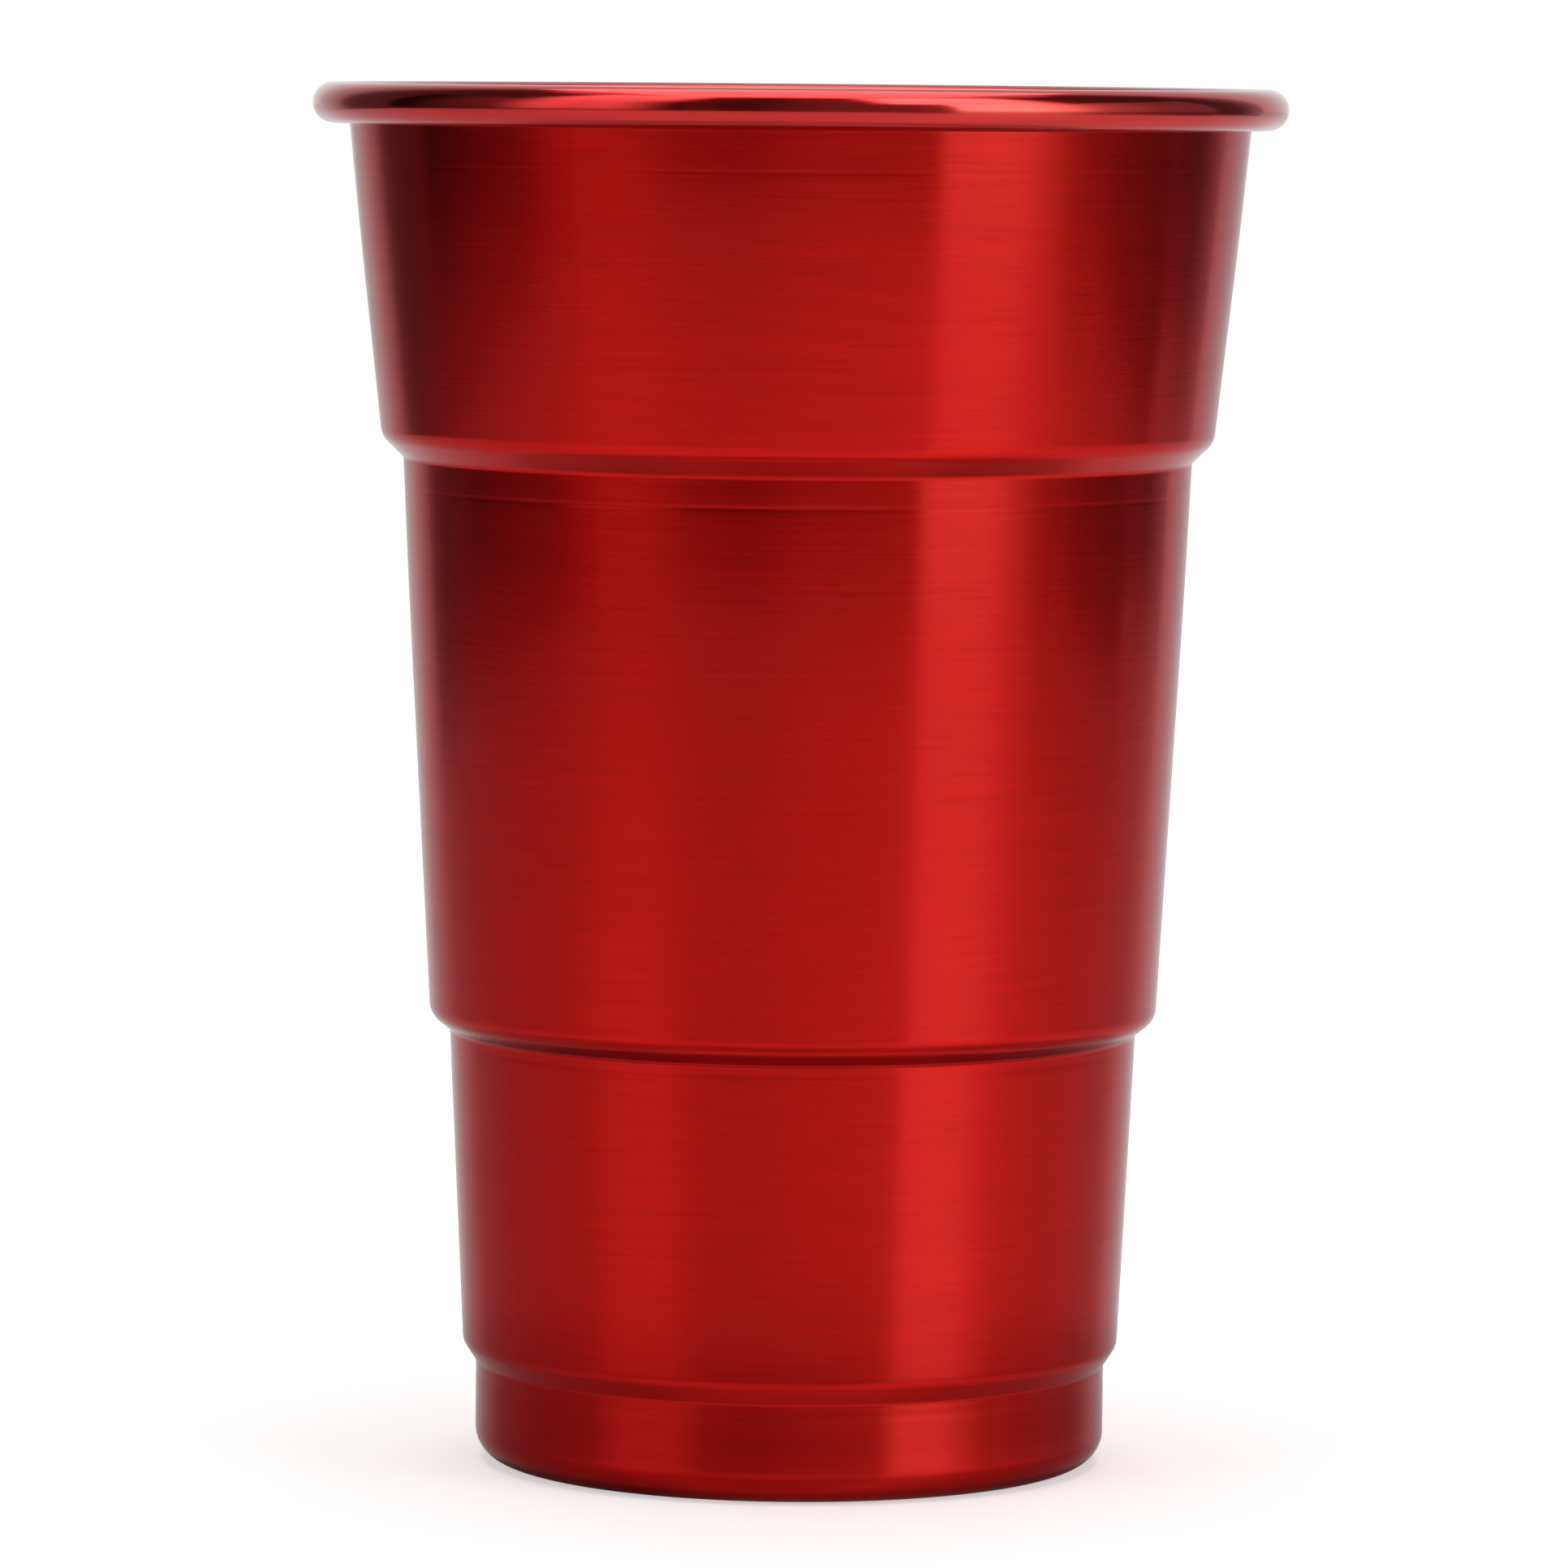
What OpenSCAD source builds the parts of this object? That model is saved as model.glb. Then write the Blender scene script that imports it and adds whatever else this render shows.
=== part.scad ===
// Stepped aluminium drinking cup, drawn and spun from one round of sheet.
// Millimetres, +Z up. The origin is the middle of the plane that the cup stands on.
// Every diameter and height is measured on the outside of the sheet.

/* [Sheet] */
// Thickness of the sheet
sheet_t = 0.5; // [0.4:0.05:0.9]

/* [Rim] */
// Outside diameter over the rolled rim
rim_d = 92; // [84:0.5:110]
// Diameter of the roll itself
curl_d = 3.8; // [3:0.1:6]
// Gap between the cut edge of the roll and the wall
curl_gap = 0.3; // [0.1:0.05:0.8]

/* [Upper body] */
// Height from the upper step to the top of the rim
upper_h = 33.2; // [15:0.1:60]
// How far the upper step stands out from the wall below it
upper_step_w = 2.05; // [0.5:0.05:4]
// Height of the slope of the upper step
upper_step_h = 2; // [0.8:0.1:5]

/* [Middle body] */
// Height of the wall between the upper and the lower step
middle_h = 52.7; // [20:0.1:80]
// Draft of that wall, in degrees from upright
middle_draft = 3.05; // [0:0.05:5]
// How far the lower step stands out from the wall below it
lower_step_w = 1.9; // [0.5:0.05:4]
// Height of the slope of the lower step
lower_step_h = 1.5; // [0.8:0.1:5]

/* [Lower body] */
// Height of the wall between the lower step and the foot step
lower_h = 29.8; // [10:0.1:60]
// Draft of that wall, in degrees from upright
lower_draft = 2.75; // [0:0.05:5]
// How far the foot step stands out from the foot
foot_step_w = 1.25; // [0.5:0.05:4]
// Height of the slope of the foot step
foot_step_h = 1.9; // [0.8:0.1:5]

/* [Foot] */
// Outside diameter of the straight foot
foot_d = 59.8; // [50:0.1:66]
// Height of the foot, from the standing plane to its step
foot_h = 9.4; // [6:0.1:20]
// Width of the standing ring, from the outside of the foot to the hollow
ring_w = 7; // [6:0.1:14]
// Depth of the hollow under the base
hollow_h = 1.2; // [0.4:0.1:3]
// Width of the slope around that hollow
hollow_slope_w = 2; // [1:0.1:5]

/* [Bends] */
// Inside radius of the bend between the foot and the base
foot_bend_r = 2.5; // [0.5:0.1:4]
// Inside radius of the round bend at the top of each step
step_top_bend_r = 1.5; // [0.3:0.1:3]
// Inside radius of the tight bend at the root of each step
step_root_bend_r = 0.65; // [0.2:0.05:2]
// Inside radius of the bends around the hollow
hollow_bend_r = 1; // [0.2:0.1:2]

/* [Hidden] */
cup_red = "#b01a16";

// Degrees of bend between two points of the section
arc_step = 6;
// Share of a straight stretch that the bend at one end of it may take up
bend_share = 0.48;

// Heights of the corners, from the standing plane up
foot_step_z = foot_h + foot_step_h;
lower_step_z = foot_step_z + lower_h;
middle_z = lower_step_z + lower_step_h;
upper_step_z = middle_z + middle_h;
upper_z = upper_step_z + upper_step_h;
cup_h = upper_z + upper_h;

// Outside radii of the corners, from the foot up
foot_r = foot_d / 2;
lower_r = foot_r + foot_step_w;
lower_top_r = lower_r + lower_h * tan(lower_draft);
middle_r = lower_top_r + lower_step_w;
middle_top_r = middle_r + middle_h * tan(middle_draft);
upper_r = middle_top_r + upper_step_w;

// The hollow under the base
hollow_r = foot_r - ring_w;
panel_r = hollow_r - hollow_slope_w;

// The roll turns about curl_c. The outside of the wall runs up into its inner face.
curl_r = curl_d / 2;
curl_c = [rim_d / 2 - curl_r, cup_h - curl_r];
curl_in_r = curl_r - sheet_t;

// The straight wall of the upper body touches the roll's inner face, so it ends where
// the line from the upper step is a tangent to that circle
upper_foot = [upper_r, upper_z];
to_curl = curl_c - upper_foot;
wall_angle = atan2(to_curl[1], to_curl[0]) + asin(curl_in_r / norm(to_curl));
wall_len = sqrt(pow(norm(to_curl), 2) - pow(curl_in_r, 2));
wall_end = upper_foot + wall_len * [cos(wall_angle), sin(wall_angle)];

// The roll goes round until its cut edge is curl_gap from the wall
curl_open = acos((curl_in_r - curl_gap) / curl_r);
curl_turn = 360 - curl_open;

// Corners of the outside of the sheet, from the middle of the base to the rim. Each is
// [radius, height, inside radius of the bend there].
corners = [
    [0, hollow_h, 0],
    [panel_r, hollow_h, hollow_bend_r],
    [hollow_r, 0, hollow_bend_r],
    [foot_r, 0, foot_bend_r],
    [foot_r, foot_h, step_root_bend_r],
    [lower_r, foot_step_z, step_top_bend_r],
    [lower_top_r, lower_step_z, step_root_bend_r],
    [middle_r, middle_z, step_top_bend_r],
    [middle_top_r, upper_step_z, step_root_bend_r],
    [upper_r, upper_z, step_top_bend_r],
    [wall_end[0], wall_end[1], 0]
];
last = len(corners) - 1;

function point(i) = [corners[i][0], corners[i][1]];
function unit(v) = v / norm(v);
function backwards(list) = [for (i = [len(list) - 1 : -1 : 0]) list[i]];

// Points along an arc about a centre, from one angle through a turn (plus is left)
function arc(centre, r, from, turn) =
    let (steps = ceil(abs(turn) / arc_step))
    [for (k = [0 : steps]) centre + r * [cos(from + turn * k / steps), sin(from + turn * k / steps)]];

// The bend at corner i, as the face at this depth under the outside of the sheet has it
function bend(i, depth) =
    let (
        in = unit(point(i) - point(i - 1)),
        out = unit(point(i + 1) - point(i)),
        side = cross(in, out) > 0 ? 1 : -1,
        turn = acos(in * out),
        wanted_r = corners[i][2] + (side > 0 ? sheet_t : 0),
        straight = min(norm(point(i) - point(i - 1)), norm(point(i + 1) - point(i))),
        r = min(wanted_r, bend_share * straight / tan(turn / 2)),
        inward = side * [-in[1], in[0]],
        centre = point(i) - in * r * tan(turn / 2) + inward * r
    )
    arc(centre, r - side * depth, atan2(-inward[1], -inward[0]), side * turn);

// One face of the sheet, from the axis to the cut edge of the roll
function face(depth) = concat(
    [[0, hollow_h + depth]],
    [for (i = [1 : last - 1]) each bend(i, depth)],
    arc(curl_c, curl_in_r + depth, wall_angle + 90, -curl_turn)
);

// The sheet cut through on one side of the axis
module section() {
    polygon(concat(face(0), backwards(face(sheet_t))));
}

module cup() {
    color(cup_red) rotate_extrude($fn = 180) section();
}

cup();
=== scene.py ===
"""Stepped drinking cup of spun red aluminium: its shell, its finish and a plain studio."""
import math

import bmesh
import bpy
from bpy.props import FloatProperty, FloatVectorProperty, IntProperty, PointerProperty
from mathutils import Matrix, Vector


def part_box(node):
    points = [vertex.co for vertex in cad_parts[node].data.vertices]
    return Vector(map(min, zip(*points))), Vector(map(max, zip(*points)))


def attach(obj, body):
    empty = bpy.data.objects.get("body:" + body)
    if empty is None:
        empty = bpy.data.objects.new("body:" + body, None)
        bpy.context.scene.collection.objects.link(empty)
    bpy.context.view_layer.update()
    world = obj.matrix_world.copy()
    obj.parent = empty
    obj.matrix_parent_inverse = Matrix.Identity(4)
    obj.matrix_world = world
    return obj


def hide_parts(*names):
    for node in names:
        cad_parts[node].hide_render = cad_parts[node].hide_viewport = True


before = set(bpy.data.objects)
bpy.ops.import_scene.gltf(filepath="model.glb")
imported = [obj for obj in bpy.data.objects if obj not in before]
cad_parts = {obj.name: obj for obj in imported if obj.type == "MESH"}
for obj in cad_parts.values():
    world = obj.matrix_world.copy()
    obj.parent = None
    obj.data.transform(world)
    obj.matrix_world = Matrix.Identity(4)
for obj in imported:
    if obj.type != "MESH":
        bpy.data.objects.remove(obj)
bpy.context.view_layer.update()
CUP_LOW, CUP_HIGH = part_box("cup")

bl_info = {
    "name": "Stepped aluminium cup",
    "version": (1, 0, 0),
    "blender": (4, 5, 0),
    "location": "3D View > Sidebar > Cup",
    "description": "Makes a spun red aluminium cup with its finish, and a plain studio around it",
    "category": "Add Mesh",
}

MM = 0.001

# The section of the sheet, in metres, with its radii on the outside of the sheet
SHEET = 0.5 * MM
CURL_RADIUS = 1.9 * MM
CURL_GAP = 0.3 * MM
FOOT_RADIUS = 29.9 * MM
FOOT_HEIGHT = 9.4 * MM
FOOT_STEP = (1.25 * MM, 1.9 * MM)
LOWER_HEIGHT = 29.8 * MM
LOWER_DRAFT = math.radians(2.75)
LOWER_STEP = (1.9 * MM, 1.5 * MM)
MIDDLE_HEIGHT = 52.7 * MM
MIDDLE_DRAFT = math.radians(3.05)
UPPER_STEP = (2.05 * MM, 2.0 * MM)
RING_WIDTH = 7.0 * MM
HOLLOW_HEIGHT = 1.2 * MM
HOLLOW_SLOPE = 2.0 * MM
FOOT_BEND = 2.5 * MM
STEP_TOP_BEND = 1.5 * MM
STEP_ROOT_BEND = 0.65 * MM
HOLLOW_BEND = 1.0 * MM

# Share of a straight stretch that the bend at one end of it may take up
BEND_SHARE = 0.48

# Points of the section between two bends: how far apart they are on each face, the extra ones
# by each bend, how near the bend the last may be, and how near each other two may be
OUTER_SPACING = 1.4 * MM
INNER_SPACING = 3.0 * MM
BY_THE_BEND = (0.08 * MM, 0.3 * MM)
END_MARGIN = 0.02 * MM
LEAST_SPACING = 0.03 * MM
GROOVE_POINTS = 4

# How the drawn walls depart from a straight line: each belly is the steepest turn towards
# upright, in degrees, its distance below the top of its wall and its spread
UPPER_BELLY = (0.6, 5.0 * MM, 7.0 * MM)
MIDDLE_BELLY = (0.55, 6.0 * MM, 7.0 * MM)

# Marks that the spinning tool left: height, depth and half width of each groove
SPIN_MARKS = (
    (122.9 * MM, 0.003 * MM, 0.3 * MM),
    (92.4 * MM, 0.007 * MM, 0.35 * MM),
    (40.2 * MM, 0.012 * MM, 0.5 * MM),
    (8.3 * MM, 0.02 * MM, 0.7 * MM),
)


def unit(vector):
    return vector.normalized()


def arc(centre, radius, start, turn, step):
    """Points along an arc, from one angle through a turn that is plus to the left."""
    count = max(2, math.ceil(abs(turn) / step))
    angles = [start + turn * k / count for k in range(count + 1)]
    return [centre + radius * Vector((math.cos(a), math.sin(a))) for a in angles]


def belly(distance, length, shape):
    """How far a drawn wall stands out at a distance below its top."""
    turn, middle, spread = math.radians(shape[0]), shape[1], shape[2]
    half = spread * math.sqrt(math.pi) / 2

    def swell(x):
        return turn * half * (math.erf((x - middle) / spread) + math.erf(middle / spread))

    return swell(distance) - swell(length) * distance / length


def groove(height):
    """Depth of the spin marks at a height."""
    depth = 0.0
    for middle, deep, half in SPIN_MARKS:
        off = abs(height - middle) / half
        if off < 1:
            depth += deep * (0.5 + 0.5 * math.cos(math.pi * off))
    return depth


class Section:
    """The sheet of the cup cut through on one side of its axis."""

    def __init__(self, rim_radius, height, arc_step):
        self.step = arc_step
        lower = FOOT_RADIUS + FOOT_STEP[0]
        foot_step_top = FOOT_HEIGHT + FOOT_STEP[1]
        lower_top = lower + LOWER_HEIGHT * math.tan(LOWER_DRAFT)
        lower_step = foot_step_top + LOWER_HEIGHT
        middle = lower_top + LOWER_STEP[0]
        middle_foot = lower_step + LOWER_STEP[1]
        middle_top = middle + MIDDLE_HEIGHT * math.tan(MIDDLE_DRAFT)
        upper_step = middle_foot + MIDDLE_HEIGHT
        upper = Vector((middle_top + UPPER_STEP[0], upper_step + UPPER_STEP[1]))
        hollow = FOOT_RADIUS - RING_WIDTH

        # The wall runs up as a tangent to the inner face of the roll
        self.curl = Vector((rim_radius - CURL_RADIUS, height - CURL_RADIUS))
        self.curl_inner = CURL_RADIUS - SHEET
        reach = self.curl - upper
        self.wall_angle = math.atan2(reach.y, reach.x) + math.asin(self.curl_inner / reach.length)
        run = math.sqrt(reach.length**2 - self.curl_inner**2)
        wall_end = upper + run * Vector((math.cos(self.wall_angle), math.sin(self.wall_angle)))
        opening = math.acos((self.curl_inner - CURL_GAP) / CURL_RADIUS)
        self.curl_turn = 2 * math.pi - opening

        self.corners = [
            (Vector((0, HOLLOW_HEIGHT)), 0),
            (Vector((hollow - HOLLOW_SLOPE, HOLLOW_HEIGHT)), HOLLOW_BEND),
            (Vector((hollow, 0)), HOLLOW_BEND),
            (Vector((FOOT_RADIUS, 0)), FOOT_BEND),
            (Vector((FOOT_RADIUS, FOOT_HEIGHT)), STEP_ROOT_BEND),
            (Vector((lower, foot_step_top)), STEP_TOP_BEND),
            (Vector((lower_top, lower_step)), STEP_ROOT_BEND),
            (Vector((middle, middle_foot)), STEP_TOP_BEND),
            (Vector((middle_top, upper_step)), STEP_ROOT_BEND),
            (upper, STEP_TOP_BEND),
            (wall_end, 0),
        ]
        # The walls that swell, by the corner at the foot of each
        self.bellies = {7: MIDDLE_BELLY, 9: UPPER_BELLY}

    def bend(self, index, depth):
        before, at, after = (self.corners[index + k][0] for k in (-1, 0, 1))
        into, out = unit(at - before), unit(after - at)
        cross = into.x * out.y - into.y * out.x
        side = 1 if cross > 0 else -1
        turn = math.acos(into.dot(out))
        wanted = self.corners[index][1] + (SHEET if side > 0 else 0)
        straight = min((at - before).length, (after - at).length)
        radius = min(wanted, BEND_SHARE * straight / math.tan(turn / 2))
        inward = side * Vector((-into.y, into.x))
        centre = at - into * radius * math.tan(turn / 2) + inward * radius
        start = math.atan2(-inward.y, -inward.x)
        return arc(centre, radius - side * depth, start, side * turn, self.step)

    def wall(self, start, end, index, spacing):
        """Points between two bends, with the belly and the spin marks of a drawn wall."""
        along = end - start
        length = along.length
        stops = set(BY_THE_BEND) | {length - off for off in BY_THE_BEND}
        count = max(1, math.ceil(length / spacing))
        stops.update(length * k / count for k in range(1, count))
        for height, _, half in SPIN_MARKS:
            if min(start.y, end.y) < height < max(start.y, end.y):
                at = (height - start.y) / along.y * length
                parts = range(-GROOVE_POINTS, GROOVE_POINTS + 1)
                stops.update(at + half * k / GROOVE_POINTS for k in parts)
        outward = Vector((along.y, -along.x)) / length
        points = []
        last = 0.0
        for stop in sorted(s for s in stops if END_MARGIN < s < length - END_MARGIN):
            if stop - last < LEAST_SPACING:
                continue
            last = stop
            point = start + along * stop / length
            stand = -groove(point.y)
            if index in self.bellies:
                stand += belly(length - stop, length, self.bellies[index])
            points.append(point + outward * stand)
        return points

    def face(self, depth, spacing):
        """One face of the sheet, from the axis to the cut edge of the roll."""
        start = self.wall_angle + math.pi / 2
        curl = arc(self.curl, self.curl_inner + depth, start, -self.curl_turn, self.step)
        runs = [[Vector((0, HOLLOW_HEIGHT + depth))]]
        runs += [self.bend(i, depth) for i in range(1, len(self.corners) - 1)]
        runs.append(curl)
        points = list(runs[0])
        for index in range(len(runs) - 1):
            points += self.wall(runs[index][-1], runs[index + 1][0], index, spacing)
            points += runs[index + 1]
        return points

    def outline(self):
        outer = self.face(0, OUTER_SPACING)
        inner = self.face(SHEET, INNER_SPACING)
        return outer + inner[::-1]


def new_socket(tree, name, kind, default=None, output=False):
    side = "OUTPUT" if output else "INPUT"
    socket = tree.interface.new_socket(name=name, in_out=side, socket_type=kind)
    if default is not None:
        socket.default_value = default
    return socket


def add_node(tree, kind, inputs=None, **settings):
    """Adds a node, sets it and joins its inputs: a socket is linked, anything else is a value."""
    node = tree.nodes.new(kind)
    for name, value in settings.items():
        setattr(node, name, value)
    for key, value in (inputs or {}).items():
        socket = node.inputs[key]
        if isinstance(value, bpy.types.NodeSocket):
            tree.links.new(value, socket)
        else:
            socket.default_value = value
    return node


def math_node(tree, operation, *values):
    node = add_node(tree, "ShaderNodeMath", dict(enumerate(values)), operation=operation)
    return node.outputs[0]


def total(tree, *terms):
    """The sum of some values."""
    result = terms[0]
    for term in terms[1:]:
        result = math_node(tree, "ADD", result, term)
    return result


def ramp(tree, value, start, end, low, high, smooth=True):
    """A level that goes from low to high while a value goes from start to end."""
    inputs = {"Value": value, "From Min": start, "From Max": end, "To Min": low, "To Max": high}
    kind = "SMOOTHSTEP" if smooth else "LINEAR"
    return add_node(tree, "ShaderNodeMapRange", inputs, interpolation_type=kind).outputs[0]


def blank(store, name):
    """A new material or world with an empty node tree."""
    made = store.new(name)
    made.use_nodes = True
    made.node_tree.nodes.clear()
    return made, made.node_tree


def lathe_tree():
    """Turns a section of points about the Z axis into a closed shell."""
    tree = bpy.data.node_groups.new("turned_shell", "GeometryNodeTree")
    new_socket(tree, "Section", "NodeSocketGeometry")
    new_socket(tree, "Segments", "NodeSocketInt", 240)
    new_socket(tree, "Merge Distance", "NodeSocketFloat", 1e-6)
    new_socket(tree, "Finish", "NodeSocketMaterial")
    new_socket(tree, "Shell", "NodeSocketGeometry", output=True)
    source = tree.nodes.new("NodeGroupInput").outputs
    size = add_node(
        tree, "GeometryNodeAttributeDomainSize", {"Geometry": source["Section"]}, component="MESH"
    )
    columns = math_node(tree, "ADD", source["Segments"], 1.0)
    grid = add_node(
        tree,
        "GeometryNodeMeshGrid",
        {"Vertices X": size.outputs["Point Count"], "Vertices Y": columns},
    )
    index = add_node(tree, "GeometryNodeInputIndex").outputs[0]
    row = math_node(tree, "FLOOR", math_node(tree, "DIVIDE", index, columns))
    column = math_node(tree, "SUBTRACT", index, math_node(tree, "MULTIPLY", row, columns))
    place = add_node(tree, "GeometryNodeInputPosition").outputs[0]
    sample = add_node(
        tree,
        "GeometryNodeSampleIndex",
        {"Geometry": source["Section"], "Value": place, "Index": row},
        data_type="FLOAT_VECTOR",
        domain="POINT",
    )
    section = add_node(tree, "ShaderNodeSeparateXYZ", {0: sample.outputs["Value"]}).outputs
    share = math_node(tree, "DIVIDE", column, source["Segments"])
    turn = math_node(tree, "MULTIPLY", share, 2 * math.pi)
    turned = add_node(
        tree,
        "ShaderNodeCombineXYZ",
        {
            "X": math_node(tree, "MULTIPLY", section["X"], math_node(tree, "COSINE", turn)),
            "Y": math_node(tree, "MULTIPLY", section["X"], math_node(tree, "SINE", turn)),
            "Z": section["Z"],
        },
    ).outputs[0]
    placed = add_node(
        tree, "GeometryNodeSetPosition", {"Geometry": grid.outputs["Mesh"], "Position": turned}
    ).outputs[0]
    merged = add_node(
        tree,
        "GeometryNodeMergeByDistance",
        {"Geometry": placed, "Distance": source["Merge Distance"]},
    ).outputs[0]
    smooth = add_node(tree, "GeometryNodeSetShadeSmooth", {"Geometry": merged}).outputs[0]
    whole = add_node(tree, "GeometryNodeRealizeInstances", {"Geometry": smooth}).outputs[0]
    finished = add_node(
        tree, "GeometryNodeSetMaterial", {"Geometry": whole, "Material": source["Finish"]}
    ).outputs[0]
    add_node(tree, "NodeGroupOutput", {"Shell": finished})
    return tree


# The grain: parts of its noise in a metre round the cup, the rates of its broad bands against
# those of its fine lines, the layers of noise in both, and the strength of each finer layer
GRAIN_ROUND = 90.0
BAND_RATE = 0.1
BAND_ROUND = 0.35
LINE_LAYERS = 3.0
BAND_LAYERS = 2.0
LAYER_STRENGTH = 0.6

# What the grain does: the tones it runs between, and how far it changes the roughness
GRAIN_TONE = (0.79, 1.21)
GRAIN_ROUGHNESS = 0.02

# The metal: its tint where it is seen at a slant, the turn that lays the stretch of a highlight
# across the lines, and the clear gloss on it
SLANT_TINT = (0.7, 0.67, 0.67, 1.0)
QUARTER_TURN = 0.25
GLOSS_ROUGHNESS = 0.12
GLOSS_IOR = 1.55

# Half the height over which the finish of the wall turns into that of the roll
ROLL_BLEND = 0.3 * MM


def spun_grain_group():
    """Fine rings that spinning leaves, running round the axis on walls and base alike."""
    tree = bpy.data.node_groups.new("spun_grain", "ShaderNodeTree")
    new_socket(tree, "Place", "NodeSocketVector")
    new_socket(tree, "Lines per Metre", "NodeSocketFloat", 2800.0)
    new_socket(tree, "Spread Round", "NodeSocketFloat", GRAIN_ROUND)
    new_socket(tree, "Lines", "NodeSocketFloat", output=True)
    new_socket(tree, "Bands", "NodeSocketFloat", output=True)
    source = tree.nodes.new("NodeGroupInput").outputs
    place = add_node(tree, "ShaderNodeSeparateXYZ", {0: source["Place"]}).outputs
    squares = [math_node(tree, "MULTIPLY", place[axis], place[axis]) for axis in "XY"]
    radius = math_node(tree, "SQRT", total(tree, *squares))
    across = total(tree, place["Z"], radius)

    def rings(rate, round_rate, layers):
        where = add_node(
            tree,
            "ShaderNodeCombineXYZ",
            {
                "X": math_node(tree, "MULTIPLY", place["X"], round_rate),
                "Y": math_node(tree, "MULTIPLY", place["Y"], round_rate),
                "Z": math_node(tree, "MULTIPLY", across, rate),
            },
        ).outputs[0]
        return add_node(
            tree,
            "ShaderNodeTexNoise",
            {"Vector": where, "Scale": 1.0, "Detail": layers, "Roughness": LAYER_STRENGTH},
            noise_dimensions="3D",
        ).outputs["Fac"]

    fine = rings(source["Lines per Metre"], source["Spread Round"], LINE_LAYERS)
    band_rate = math_node(tree, "MULTIPLY", source["Lines per Metre"], BAND_RATE)
    band_round = math_node(tree, "MULTIPLY", source["Spread Round"], BAND_ROUND)
    broad = rings(band_rate, band_round, BAND_LAYERS)
    add_node(tree, "NodeGroupOutput", {"Lines": fine, "Bands": broad})
    return tree


def red_anodised(finish):
    """Satin red anodised aluminium, spun, with a more polished roll at the rim."""
    material, tree = blank(bpy.data.materials, "red_anodised")
    place = add_node(tree, "ShaderNodeTexCoord").outputs["Object"]
    grain = add_node(tree, "ShaderNodeGroup", node_tree=spun_grain_group())
    tree.links.new(place, grain.inputs["Place"])
    grain.inputs["Lines per Metre"].default_value = finish.grain_lines
    lines, bands = grain.outputs["Lines"], grain.outputs["Bands"]
    height = add_node(tree, "ShaderNodeSeparateXYZ", {0: place}).outputs["Z"]
    roll_foot = CUP_HIGH[2] - 2 * CURL_RADIUS
    roll = ramp(tree, height, roll_foot - ROLL_BLEND, roll_foot + ROLL_BLEND, 0.0, 1.0)

    def over(value, low, high):
        return ramp(tree, value, 0.0, 1.0, low, high, smooth=False)

    least, most = finish.roughness - GRAIN_ROUGHNESS, finish.roughness + GRAIN_ROUGHNESS
    wall_rough = over(bands, least, most)
    rough = add_node(
        tree, "ShaderNodeMix", {0: roll, 2: wall_rough, 3: finish.rim_roughness}, data_type="FLOAT"
    ).outputs[0]
    shade = add_node(
        tree,
        "ShaderNodeMix",
        {0: 1.0, 6: tuple(finish.colour) + (1.0,), 7: over(lines, *GRAIN_TONE)},
        data_type="RGBA",
        blend_type="MULTIPLY",
    ).outputs[2]
    relief = add_node(
        tree,
        "ShaderNodeBump",
        {
            "Strength": 1.0,
            "Distance": 1.0,
            "Height": math_node(tree, "MULTIPLY", lines, finish.grain_depth),
        },
    ).outputs[0]
    tangent = add_node(tree, "ShaderNodeTangent", direction_type="RADIAL", axis="Z").outputs[0]
    metal = add_node(
        tree,
        "ShaderNodeBsdfPrincipled",
        {
            "Base Color": shade,
            "Metallic": 1.0,
            "Roughness": rough,
            "Normal": relief,
            "Tangent": tangent,
            "Anisotropic": finish.brush,
            "Anisotropic Rotation": QUARTER_TURN,
            "Specular Tint": SLANT_TINT,
            "Coat Weight": over(roll, finish.wall_gloss, finish.rim_gloss),
            "Coat Roughness": GLOSS_ROUGHNESS,
            "Coat IOR": GLOSS_IOR,
        },
    )
    add_node(tree, "ShaderNodeOutputMaterial", {"Surface": metal.outputs[0]})
    return material


def as_plain_piece(carrier, name):
    """The evaluated result of an object's modifiers, as an object of its own."""
    depsgraph = bpy.context.evaluated_depsgraph_get()
    mesh = bpy.data.meshes.new_from_object(carrier.evaluated_get(depsgraph))
    mesh.name = name
    piece = bpy.data.objects.new(name, mesh)
    bpy.context.scene.collection.objects.link(piece)
    spare = carrier.data
    bpy.data.objects.remove(carrier)
    bpy.data.meshes.remove(spare)
    return piece


def turn_outward(mesh):
    """Makes the faces of a closed shell point out of the sheet."""
    shell = bmesh.new()
    shell.from_mesh(mesh)
    bmesh.ops.recalc_face_normals(shell, faces=shell.faces)
    if shell.calc_volume(signed=True) < 0:
        bmesh.ops.reverse_faces(shell, faces=shell.faces)
    open_edges = sum(1 for edge in shell.edges if not edge.is_manifold)
    shell.to_mesh(mesh)
    shell.free()
    if open_edges:
        raise RuntimeError(f"the shell has {open_edges} open edges")


class CupSizes(bpy.types.PropertyGroup):
    rim_diameter: FloatProperty(
        name="Rim Diameter",
        description="Width over the rolled rim",
        default=2 * max(CUP_HIGH[0], CUP_HIGH[1]),
        min=0.084,
        max=0.11,
        unit="LENGTH",
        subtype="DISTANCE",
    )
    height: FloatProperty(
        name="Height",
        description="Height from the table to the top of the rim",
        default=CUP_HIGH[2],
        min=0.11,
        max=0.15,
        unit="LENGTH",
        subtype="DISTANCE",
    )
    segments: IntProperty(
        name="Segments", description="Faces round the cup", default=240, min=48, max=300
    )
    bend_step: FloatProperty(
        name="Bend Step",
        description="Turn between two points of a bend",
        default=math.radians(7.0),
        min=math.radians(3.0),
        max=math.radians(20.0),
        unit="ROTATION",
        subtype="ANGLE",
    )


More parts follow.
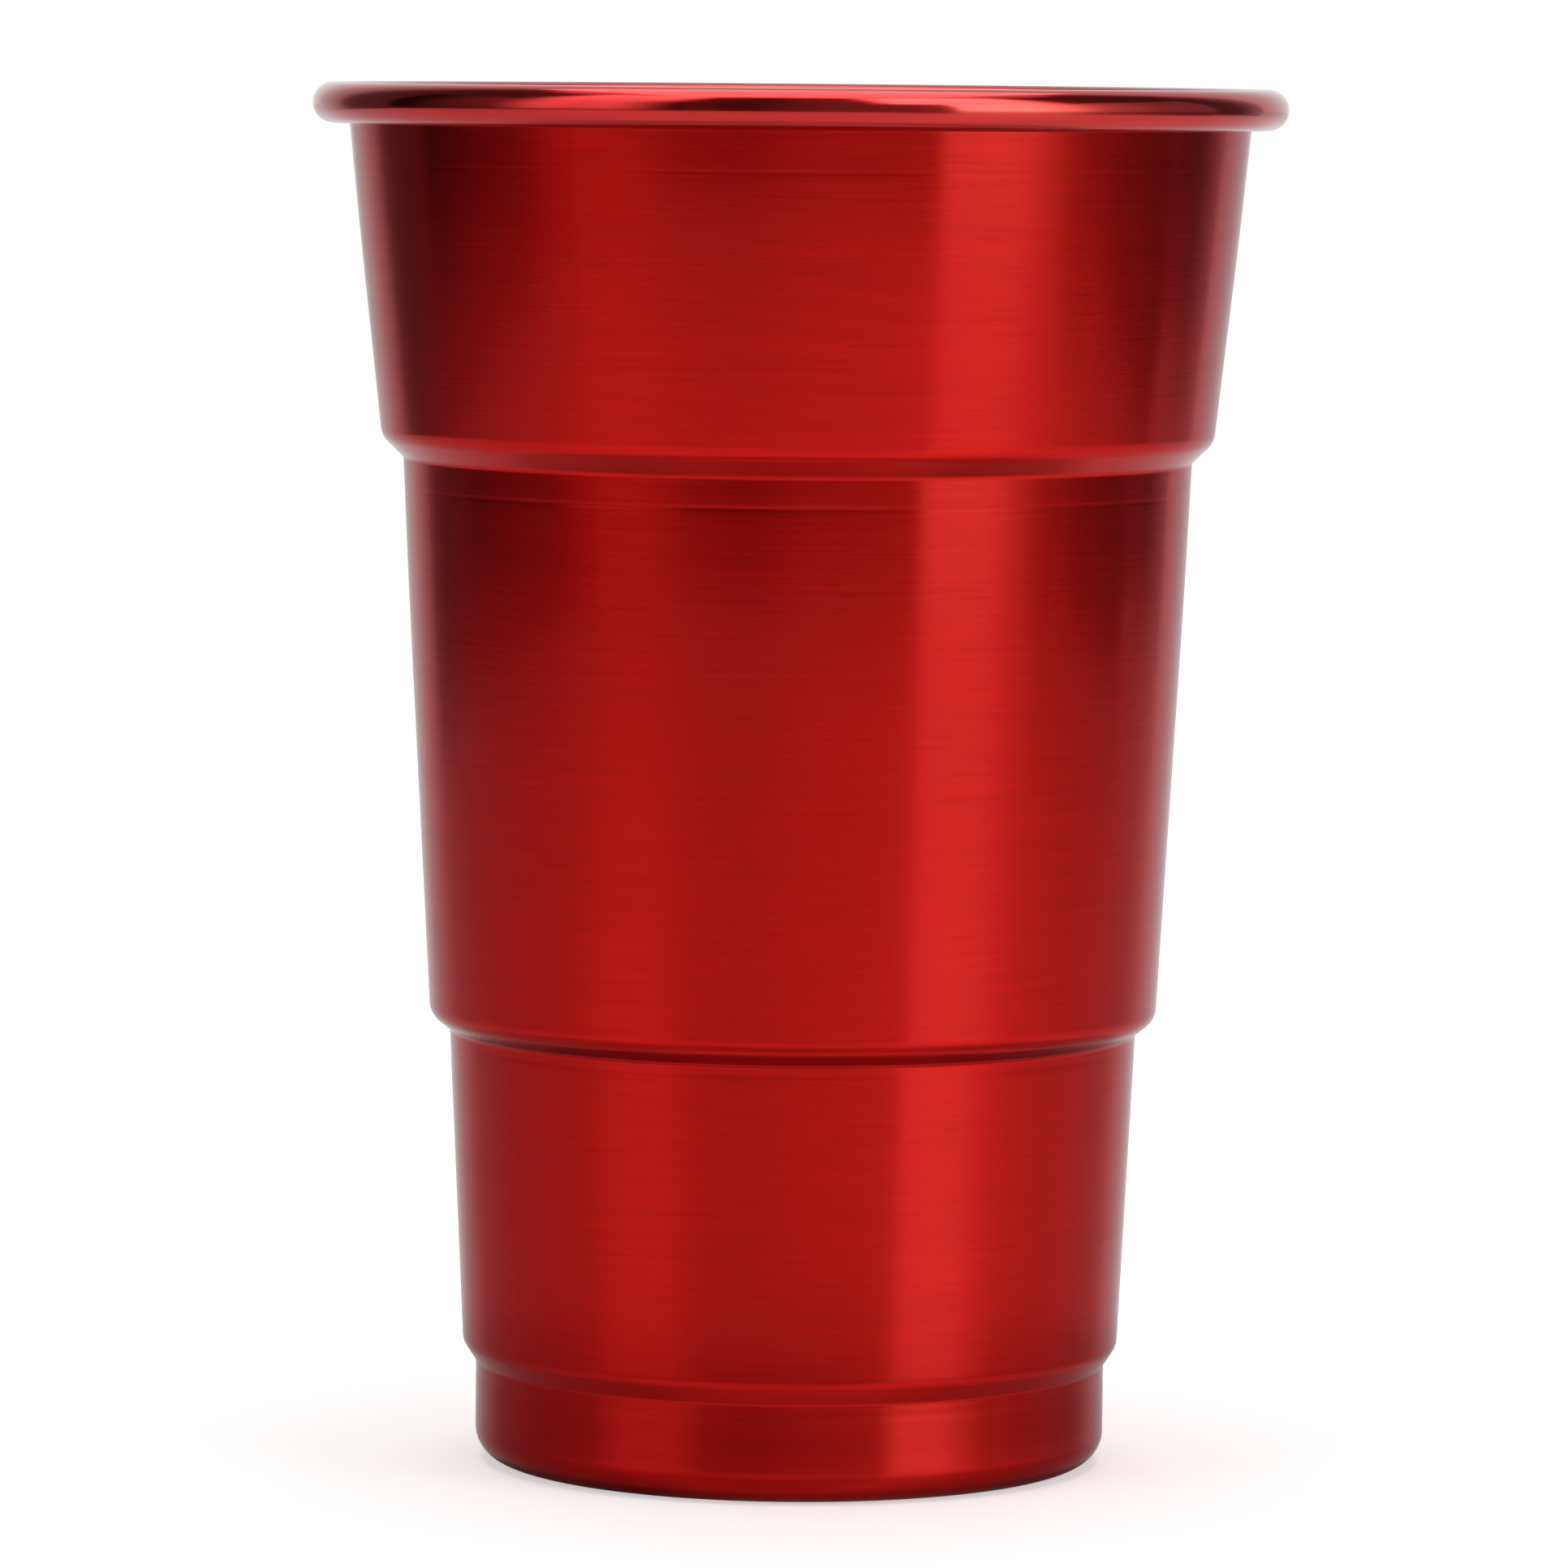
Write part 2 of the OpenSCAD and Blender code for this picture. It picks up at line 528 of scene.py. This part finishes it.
class CupFinish(bpy.types.PropertyGroup):
    colour: FloatVectorProperty(
        name="Colour",
        description="Colour of the dyed metal",
        default=(0.435, 0.0042, 0.003),
        min=0.0,
        max=1.0,
        size=3,
        subtype="COLOR",
    )
    roughness: FloatProperty(
        name="Wall Roughness",
        description="Roughness of the satin walls",
        default=0.19,
        min=0.05,
        max=0.8,
        subtype="FACTOR",
    )
    rim_roughness: FloatProperty(
        name="Rim Roughness",
        description="Roughness of the polished roll",
        default=0.17,
        min=0.05,
        max=0.8,
        subtype="FACTOR",
    )
    brush: FloatProperty(
        name="Brushing",
        description="How much the spinning stretches a highlight up and down the wall",
        default=0.45,
        min=0.0,
        max=1.0,
        subtype="FACTOR",
    )
    wall_gloss: FloatProperty(
        name="Wall Gloss",
        description="Clear gloss over the dye on the walls",
        default=0.1,
        min=0.0,
        max=1.0,
        subtype="FACTOR",
    )
    rim_gloss: FloatProperty(
        name="Rim Gloss",
        description="Clear gloss over the dye on the roll",
        default=0.5,
        min=0.0,
        max=1.0,
        subtype="FACTOR",
    )
    grain_lines: FloatProperty(
        name="Grain Lines", description="Spun lines in a metre", default=2800.0, min=500.0, max=20000.0
    )
    grain_depth: FloatProperty(
        name="Grain Depth",
        description="Depth of the spun lines",
        default=0.000003,
        min=0.0,
        max=0.0001,
        precision=7,
        unit="LENGTH",
        subtype="DISTANCE",
    )


class StudioSettings(bpy.types.PropertyGroup):
    camera_distance: FloatProperty(
        name="Camera Distance",
        description="Distance from the cup's axis to the camera",
        default=0.85,
        unit="LENGTH",
        subtype="DISTANCE",
    )
    camera_height: FloatProperty(
        name="Camera Height",
        description="Height of the camera above the table",
        default=0.1346,
        unit="LENGTH",
        subtype="DISTANCE",
    )
    lens: FloatProperty(
        name="Lens", description="Focal length on a frame 36 mm wide", default=206.3, unit="CAMERA"
    )
    aim_height: FloatProperty(
        name="Aim Height",
        description="Height on the cup's axis that the camera looks at",
        default=0.0644,
        unit="LENGTH",
        subtype="DISTANCE",
    )
    aim_left: FloatProperty(
        name="Aim Left",
        description="How far left of the axis the camera looks",
        default=0.00102,
        unit="LENGTH",
        subtype="DISTANCE",
    )
    lean: FloatProperty(
        name="Lean",
        description="How far the camera leans to its left",
        default=math.radians(0.52),
        unit="ROTATION",
        subtype="ANGLE",
    )
    top_light: FloatProperty(
        name="Top Light", description="Radiance of the overhead softbox", default=3.0, min=0.0
    )
    right_light: FloatProperty(
        name="Right Light", description="Radiance of the right lamp", default=2.0, min=0.0
    )
    left_light: FloatProperty(
        name="Left Light", description="Radiance of the left lamp", default=1.5, min=0.0
    )
    floor_white: FloatProperty(
        name="Floor White",
        description="How much of the light the floor returns",
        default=0.8,
        min=0.0,
        max=1.0,
        subtype="FACTOR",
    )


class CUP_OT_add_shell(bpy.types.Operator):
    """Adds the whole cup as one shell of sheet, turned from its section"""

    bl_idname = "cup.add_shell"
    bl_label = "Add Shell"

    def execute(self, context):
        sizes, finish = context.scene.cup_sizes, context.scene.cup_finish
        section = Section(sizes.rim_diameter / 2, sizes.height, sizes.bend_step)
        points = [(p.x, 0.0, p.y) for p in section.outline()]
        mesh = bpy.data.meshes.new("cup_section")
        mesh.from_pydata(points, [(i, i + 1) for i in range(len(points) - 1)], [])
        carrier = bpy.data.objects.new("cup_section", mesh)
        context.scene.collection.objects.link(carrier)
        tree = lathe_tree()
        modifier = carrier.modifiers.new("turned", "NODES")
        modifier.node_group = tree
        values = {"Segments": sizes.segments, "Finish": red_anodised(finish)}
        for socket in tree.interface.items_tree:
            if socket.item_type == "SOCKET" and socket.name in values:
                modifier[socket.identifier] = values[socket.name]
        shell = as_plain_piece(carrier, "cup_shell")
        turn_outward(shell.data)
        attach(shell, "root")
        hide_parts("cup")
        return {"FINISHED"}


def around(radius, azimuth, height):
    """A point of the stage: azimuth is measured from the camera's side, to its right."""
    angle = math.radians(azimuth)
    return Vector((radius * math.sin(angle), -radius * math.cos(angle), height))


def card(name, rows, material):
    """A flat or bent stage card through rows of points, with its rows and columns as its UV map."""
    mesh = bpy.data.meshes.new(name)
    width = len(rows[0])
    faces = []
    for r in range(len(rows) - 1):
        for c in range(width - 1):
            a = r * width + c
            faces.append((a, a + 1, a + width + 1, a + width))
    mesh.from_pydata([p for row in rows for p in row], [], faces)
    uv = mesh.uv_layers.new(name="card")
    for loop in mesh.loops:
        r, c = divmod(loop.vertex_index, width)
        uv.data[loop.index].uv = (c / (width - 1), r / (len(rows) - 1))
    mesh.materials.append(material)
    made = bpy.data.objects.new(name, mesh)
    bpy.context.scene.collection.objects.link(made)
    return made


def only_reflected(thing):
    """Hides a card from everything but reflections, so that it lights and shades nothing."""
    thing.visible_camera = False
    thing.visible_diffuse = False
    thing.visible_shadow = False
    thing.visible_transmission = False


def area_light(name, place, width, height, radiance, reflected=True):
    """A lamp that faces the foot of the cup."""
    data = bpy.data.lights.new(name, "AREA")
    data.shape = "RECTANGLE"
    data.size, data.size_y = width, height
    data.energy = radiance * math.pi * width * height
    made = bpy.data.objects.new(name, data)
    made.location = place
    made.rotation_euler = (-Vector(place)).to_track_quat("-Z", "Y").to_euler()
    made.visible_camera = False
    made.visible_glossy = reflected
    bpy.context.scene.collection.objects.link(made)
    return made


def background_rays(tree):
    """1 for the rays that show the background: from the camera, a reflection or a clear part."""
    rays = add_node(tree, "ShaderNodeLightPath").outputs
    seen = math_node(tree, "MAXIMUM", rays["Is Camera Ray"], rays["Is Glossy Ray"])
    return math_node(tree, "MAXIMUM", seen, rays["Is Transmission Ray"])


# The table gives off some light by itself, which makes up what the lamps leave out. Its level
# runs over these distances from the axis, in metres, between these levels
TABLE_GLOW = (0.0, 0.7, 0.36, 0.85)

# Painted light that the camera alone sees on top of it, which lightens the cup's shadow near the foot
SEEN_SHADOW_LIFT = (0.0, 0.3, 0.16, 0.0)

# Painted shade and light on top of it, which the cup alone sees in its reflections of the table: rings
# of painted shadow round the foot, a slight painted darkening all over, a lean of painted light to the
# right and to the front, and more painted shade beside the foot and behind it
REFLECTED_SHADE_RINGS = (
    (0.032, 0.041, -0.32, 0.02),
    (0.046, 0.058, 0.0, -0.43),
    (0.072, 0.105, 0.0, 0.43),
    (0.2, 0.35, 0.0, -0.02),
)
REFLECTED_SHADE_LEVEL = -0.0525
REFLECTED_LIGHT_LEAN = (0.0865, -0.1295, 0.0)
SHADE_BESIDE_FOOT = (0.07, 0.11, -0.07, 0.0)
SHADE_BEHIND_FOOT = (0.07, 0.11, -0.18, 0.0)

# The polish of the table, which shows in the cup alone
POLISH_ROUGHNESS = 0.3
POLISH_IOR = 1.52


def table_material(white):
    """White table with a slight polish, which keeps the shadow of the cup. Its glow also carries
    painted shade and painted light round the foot, which only the cup's reflections show, and painted
    light that lightens the shadow near the foot for the camera alone.
    """
    material, tree = blank(bpy.data.materials, "white_table")
    place = add_node(tree, "ShaderNodeTexCoord").outputs["Object"]
    away = add_node(tree, "ShaderNodeVectorMath", {0: place}, operation="LENGTH").outputs["Value"]
    rays = add_node(tree, "ShaderNodeLightPath").outputs
    heading = add_node(tree, "ShaderNodeVectorMath", {0: place}, operation="NORMALIZE").outputs[0]
    shares = add_node(tree, "ShaderNodeSeparateXYZ", {0: heading}).outputs
    beside = math_node(tree, "ABSOLUTE", shares["X"])
    behind = total(tree, shares["Y"], 1.0)
    lean = add_node(
        tree, "ShaderNodeVectorMath", {0: heading, 1: REFLECTED_LIGHT_LEAN}, operation="DOT_PRODUCT"
    ).outputs["Value"]
    # Painted shadow and painted light round the foot, seen only in the cup's reflections of the table
    painted_in_reflections = total(
        tree,
        *[ramp(tree, away, *ring) for ring in REFLECTED_SHADE_RINGS],
        lean,
        REFLECTED_SHADE_LEVEL,
        math_node(tree, "MULTIPLY", beside, ramp(tree, away, *SHADE_BESIDE_FOOT)),
        math_node(tree, "MULTIPLY", behind, ramp(tree, away, *SHADE_BEHIND_FOOT)),
    )
    level = total(
        tree,
        ramp(tree, away, *TABLE_GLOW),
        math_node(tree, "MULTIPLY", painted_in_reflections, rays["Is Glossy Ray"]),
        # Painted light that lightens the cup's shadow, for the camera alone
        math_node(tree, "MULTIPLY", ramp(tree, away, *SEEN_SHADOW_LIFT), rays["Is Camera Ray"]),
    )
    level = math_node(tree, "MAXIMUM", level, 0.0)
    lift = math_node(tree, "MULTIPLY", background_rays(tree), level)
    glow = add_node(tree, "ShaderNodeEmission", {"Strength": lift})
    diffuse = add_node(tree, "ShaderNodeBsdfDiffuse", {"Color": (white, white, white, 1.0)})
    both = add_node(tree, "ShaderNodeAddShader", {0: diffuse.outputs[0], 1: glow.outputs[0]})
    polish = add_node(tree, "ShaderNodeBsdfGlossy", {"Roughness": POLISH_ROUGHNESS})
    fresnel = add_node(tree, "ShaderNodeFresnel", {"IOR": POLISH_IOR}).outputs[0]
    share = math_node(tree, "MULTIPLY", rays["Is Glossy Ray"], fresnel)
    mixed = add_node(
        tree, "ShaderNodeMixShader", {0: share, 1: both.outputs[0], 2: polish.outputs[0]}
    )
    add_node(tree, "ShaderNodeOutputMaterial", {"Surface": mixed.outputs[0]})
    return material


def levels_along(tree, share, stops):
    """Levels at stops along a card, joined smoothly. The stops run from edge to edge."""
    start, end = stops[0][0], stops[-1][0]
    level = stops[0][1]
    for (low, low_level), (high, high_level) in zip(stops[:-1], stops[1:]):
        first, last = (low - start) / (end - start), (high - start) / (end - start)
        level = total(tree, level, ramp(tree, share, first, last, 0.0, high_level - low_level))
    return level


def glowing(name, tint, across, up):
    """A card that gives off light by itself: levels across it, times shares of them up it. It is
    white where its level is 0 and has its tint where its level is 1."""
    material, tree = blank(bpy.data.materials, name)
    uv = add_node(tree, "ShaderNodeTexCoord").outputs["UV"]
    place = add_node(tree, "ShaderNodeSeparateXYZ", {0: uv}).outputs
    level = levels_along(tree, place["X"], across)
    strength = math_node(tree, "MULTIPLY", level, levels_along(tree, place["Y"], up))
    colour = add_node(
        tree, "ShaderNodeMix", {0: level, 6: WHITE, 7: tint}, data_type="RGBA"
    ).outputs[2]
    glow = add_node(tree, "ShaderNodeEmission", {"Color": colour, "Strength": strength})
    add_node(tree, "ShaderNodeOutputMaterial", {"Surface": glow.outputs[0]})
    return material


def set_world(fill):
    """White for the camera and for reflections, and a weaker even fill for everything else."""
    world, tree = blank(bpy.data.worlds, "white_room")
    bpy.context.scene.world = world
    strength = ramp(tree, background_rays(tree), 0.0, 1.0, fill, 1.0, smooth=False)
    light = add_node(tree, "ShaderNodeBackground", {"Color": WHITE, "Strength": strength})
    add_node(tree, "ShaderNodeOutputWorld", {"Surface": light.outputs[0]})


# Cards that stand round the cup for its reflections: distance, tint of the bright part, level
# of light at some azimuths from the left edge to the right edge, and share of it at some heights
# from the foot to the top
WHITE = (1.0, 1.0, 1.0, 1.0)
CARDS = {
    "left_flag": (
        0.58,
        WHITE,
        ((-153, 0.95), (-146, 0.85), (-138, 0.68), (-130, 0.2), (-122, 0.15), (-58, 0.15)),
        ((0.0, 1.0), (1.1, 0.6)),
    ),
    "right_flag": (
        0.76,
        WHITE,
        ((58, 0.1), (112, 0.1), (121, 0.12), (136, 0.48)),
        ((0.0, 1.0), (1.4, 0.8)),
    ),
    "front_card": (
        0.59,
        WHITE,
        ((-58, 0.35), (-34, 0.28), (-14, 0.1), (8, 0.32), (58, 0.45)),
        ((0.0, 1.0), (0.3, 0.9), (1.2, 0.8)),
    ),
    "right_softbox": (
        0.585,
        (1.0, 2.2, 1.85, 1.0),
        ((35.2, 1.0), (51, 1.01), (78, 0.22), (92, 0.12), (104, 0.09), (110, 0.12)),
        ((0.0, 1.28), (0.06, 1.55), (0.16, 3.6), (0.5, 3.6)),
    ),
    "left_softbox": (
        0.52,
        WHITE,
        ((-108, 0.0), (-76, 0.13), (-58, 1.06), (-52, 0.88), (-46, 1.05), (-26, 0.0)),
        ((0.05, 1.0), (0.16, 1.7), (0.5, 2.0)),
    ),
    "right_upper": (
        0.57,
        (1.0, 1.6, 1.6, 1.0),
        ((14, 0.0), (26, 1.0), (58, 1.0), (74, 0.0)),
        ((0.45, 3.6), (1.1, 5.5)),
    ),
    "left_upper": (
        0.5,
        WHITE,
        ((-76, 0.0), (-62, 1.0), (-38, 1.0), (-24, 0.0)),
        ((0.45, 2.3), (1.0, 4.5)),
    ),
}
CARD_DEGREES = 4

# The rest of the stage, in metres and degrees
TABLE_HALF = 4.0
TABLE_DROP = 0.02 * MM
TOP_PLACE = (0, 0.05, 0.95)
TOP_SIZE = (0.7, 0.9)
LAMP_SIZE = (0.5, 0.5)
LAMP_DISTANCE = 1.0
LAMP_HEIGHT = 0.5
RIGHT_LAMP_AZIMUTH = 56
LEFT_LAMP_AZIMUTH = -50
FILL_LIGHT = 0.2


class CUP_OT_set_stage(bpy.types.Operator):
    """Sets up the table, the lights, the cards and the camera"""

    bl_idname = "cup.set_stage"
    bl_label = "Set Stage"

    def execute(self, context):
        studio = context.scene.cup_studio
        edges = (-TABLE_HALF, TABLE_HALF)
        rows = [[(x, y, -TABLE_DROP) for x in edges] for y in edges]
        card("table", rows, table_material(studio.floor_white))

        for name, (distance, tint, across, up) in CARDS.items():
            first, last = across[0][0], across[-1][0]
            count = max(2, round((last - first) / CARD_DEGREES))
            turns = [first + (last - first) * k / count for k in range(count + 1)]
            rows = [[around(distance, turn, z) for turn in turns] for z in (up[0][0], up[-1][0])]
            only_reflected(card(name, rows, glowing(name, tint, across, up)))

        area_light("top_softbox", TOP_PLACE, *TOP_SIZE, studio.top_light)
        right = around(LAMP_DISTANCE, RIGHT_LAMP_AZIMUTH, LAMP_HEIGHT)
        area_light("right_lamp", right, *LAMP_SIZE, studio.right_light, reflected=False)
        left = around(LAMP_DISTANCE, LEFT_LAMP_AZIMUTH, LAMP_HEIGHT)
        area_light("left_lamp", left, *LAMP_SIZE, studio.left_light, reflected=False)
        set_world(FILL_LIGHT)

        data = bpy.data.cameras.new("photo_camera")
        data.sensor_width = 36.0
        data.lens = studio.lens
        data.clip_start = 0.01
        data.clip_end = 20.0
        camera = bpy.data.objects.new("photo_camera", data)
        place = Vector((0, -studio.camera_distance, studio.camera_height))
        down = math.atan2(studio.camera_height - studio.aim_height, studio.camera_distance)
        left = math.atan2(studio.aim_left, studio.camera_distance)
        turn = (
            Matrix.Rotation(left, 4, "Z")
            @ Matrix.Rotation(math.pi / 2 - down, 4, "X")
            @ Matrix.Rotation(studio.lean, 4, "Z")
        )
        camera.matrix_world = Matrix.Translation(place) @ turn
        context.scene.collection.objects.link(camera)
        context.scene.camera = camera
        context.scene.view_settings.view_transform = "Standard"
        return {"FINISHED"}


class CUP_PT_panel(bpy.types.Panel):
    """Sizes, finish and studio of the cup"""

    bl_idname = "CUP_PT_panel"
    bl_label = "Stepped Cup"
    bl_space_type = "VIEW_3D"
    bl_region_type = "UI"
    bl_category = "Cup"

    def draw(self, context):
        scene = context.scene
        parts = (
            (scene.cup_sizes, "cup.add_shell"),
            (scene.cup_finish, None),
            (scene.cup_studio, "cup.set_stage"),
        )
        for group, operator in parts:
            box = self.layout.box()
            for name in group.__annotations__:
                box.prop(group, name)
            if operator:
                box.operator(operator)


CLASSES = (CupSizes, CupFinish, StudioSettings, CUP_OT_add_shell, CUP_OT_set_stage, CUP_PT_panel)


def register():
    for item in CLASSES:
        bpy.utils.register_class(item)
    bpy.types.Scene.cup_sizes = PointerProperty(type=CupSizes)
    bpy.types.Scene.cup_finish = PointerProperty(type=CupFinish)
    bpy.types.Scene.cup_studio = PointerProperty(type=StudioSettings)


def unregister():
    del bpy.types.Scene.cup_studio
    del bpy.types.Scene.cup_finish
    del bpy.types.Scene.cup_sizes
    for item in reversed(CLASSES):
        bpy.utils.unregister_class(item)


def main():
    register()
    bpy.ops.cup.set_stage()
    bpy.ops.cup.add_shell()


if __name__ == "__main__":
    main()
